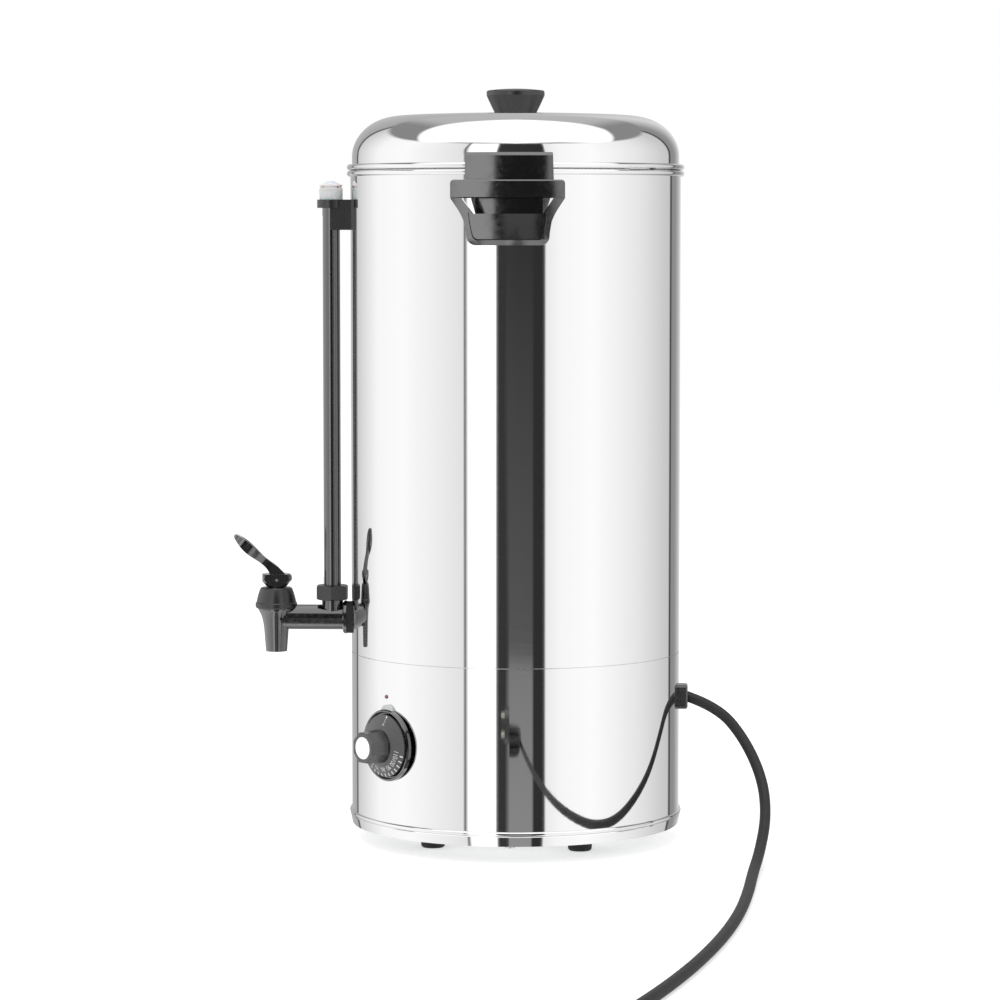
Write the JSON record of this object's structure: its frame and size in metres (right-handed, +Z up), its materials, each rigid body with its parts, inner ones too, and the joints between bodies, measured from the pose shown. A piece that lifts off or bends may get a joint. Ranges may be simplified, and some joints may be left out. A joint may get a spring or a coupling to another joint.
{
  "type": "hot water urn",
  "caption": "Free-standing polished steel hot water urn with lift-off domed lid, side handles, lever tap with sight gauge, temperature dial and mains lead.",
  "frame": {"origin": "on the tank's axis, at the height of the surface that the feet stand on", "axes": "+Z up along the tank's axis, -Y towards the tap, +X and -X towards the handles"},
  "size_m": [1.007, 0.4416, 0.6162],
  "materials": {
    "steel_mirror": "mirror-polished stainless steel",
    "steel_satin": "plain stainless sheet",
    "steel_plain": "zinc-plated or bright steel hardware",
    "aluminium_cast": "as cast",
    "element_sheath": "oxidised heater sheath",
    "copper_bulb": "bare copper",
    "brass_plain": "turned brass",
    "ceramic_white": "unglazed steatite",
    "black_gloss": "glossy moulded phenolic",
    "black_satin": "satin moulded plastic",
    "case_grey": "moulded case",
    "rubber_black": "plain rubber",
    "silicone_clear": "translucent silicone",
    "white_plastic": "milky moulded plastic",
    "dial_disc": "spun aluminium disc",
    "red_lens": "clear red lens",
    "gauge_glass": "clear tube",
    "cord_rubber": "matt rubber sheath",
    "pin_nickel": "nickel-plated brass"
  },
  "bodies": {
    "urn": {"tank_shell": "steel_mirror", "tank_floor": "steel_satin", "base_skirt": "steel_mirror", "base_ring": "steel_mirror", "base_cover": "steel_satin", "cover_screws": "steel_plain", "feet": "rubber_black", "foot_screws": "steel_plain", "heater_plate": "aluminium_cast", "heating_element": "element_sheath", "heater_clamp": "steel_plain", "dry_boil_cutout": "ceramic_white", "thermostat_body": "case_grey", "thermostat_screws": "steel_plain", "thermostat_sensor": "copper_bulb", "terminal_block": "ceramic_white", "earth_stud": "brass_plain", "handle_screws": "steel_plain", "tap_body": "black_gloss", "tap_washers": "rubber_black", "tap_nut": "brass_plain", "tap_bonnet": "black_gloss", "stem_spring": "steel_plain", "gauge_nut": "black_gloss", "gauge_seal": "silicone_clear", "sight_glass": "gauge_glass", "gauge_guard": "black_gloss", "gauge_bracket": "black_gloss", "bracket_screw": "steel_plain", "gauge_cap": "white_plastic", "dial_bezel": "black_gloss", "dial_index": "white_plastic", "pilot_lamp": "red_lens", "cord_gland": "black_satin", "gland_nut": "black_satin", "mains_cord": "cord_rubber", "cord_coil": "cord_rubber", "cord_tail": "cord_rubber", "mains_plug": "black_satin", "plug_pins": "pin_nickel", "handle_right": "black_gloss", "handle_left": "black_gloss"},
    "lid": {"lid_shell": "steel_mirror", "lid_skirt": "steel_satin", "lid_knob": "black_gloss", "lid_screw": "steel_plain", "lid_washer": "silicone_clear"},
    "dial": {"dial_knob": "black_satin", "dial_cap": "dial_disc", "thermostat_shaft": "brass_plain"},
    "seat": {"seat_cup": "silicone_clear"},
    "stem": {"tap_stem": "steel_plain"},
    "lever": {"tap_lever": "black_gloss", "lever_pin": "steel_plain"}
  },
  "joints": [
    {"name": "lid_lift", "type": "slide", "parent": "urn", "child": "lid", "axis": [0, 0, 1], "range_m": [0, 0.15]},
    {"name": "dial_turn", "type": "hinge", "parent": "urn", "child": "dial", "pos_m": [0.09548, -0.10239, 0.0886], "axis": [0.682, -0.7314, 0], "range_deg": [-247, 0]},
    {"name": "stem_lift", "type": "slide", "parent": "urn", "child": "seat", "axis": [0, 0, 1], "range_m": [0, 0.004], "deforming": ["stem_spring"]},
    {"name": "lever_swivel", "type": "hinge", "parent": "seat", "child": "stem", "pos_m": [0, -0.1979, 0.189], "axis": [0, 0, 1], "range_deg": [-98, 82]},
    {"name": "lever_tilt", "type": "hinge", "parent": "stem", "child": "lever", "pos_m": [0, -0.1979, 0.213], "axis": [0.9903, 0.1392, 0], "range_deg": [0, 35], "stiffness_Nm_per_rad": 0.05, "springref_deg": -34.38}
  ],
  "couplings": [
    {"joint": "stem_lift", "follows": "lever_tilt", "m_per_rad": 0.006532}
  ]
}
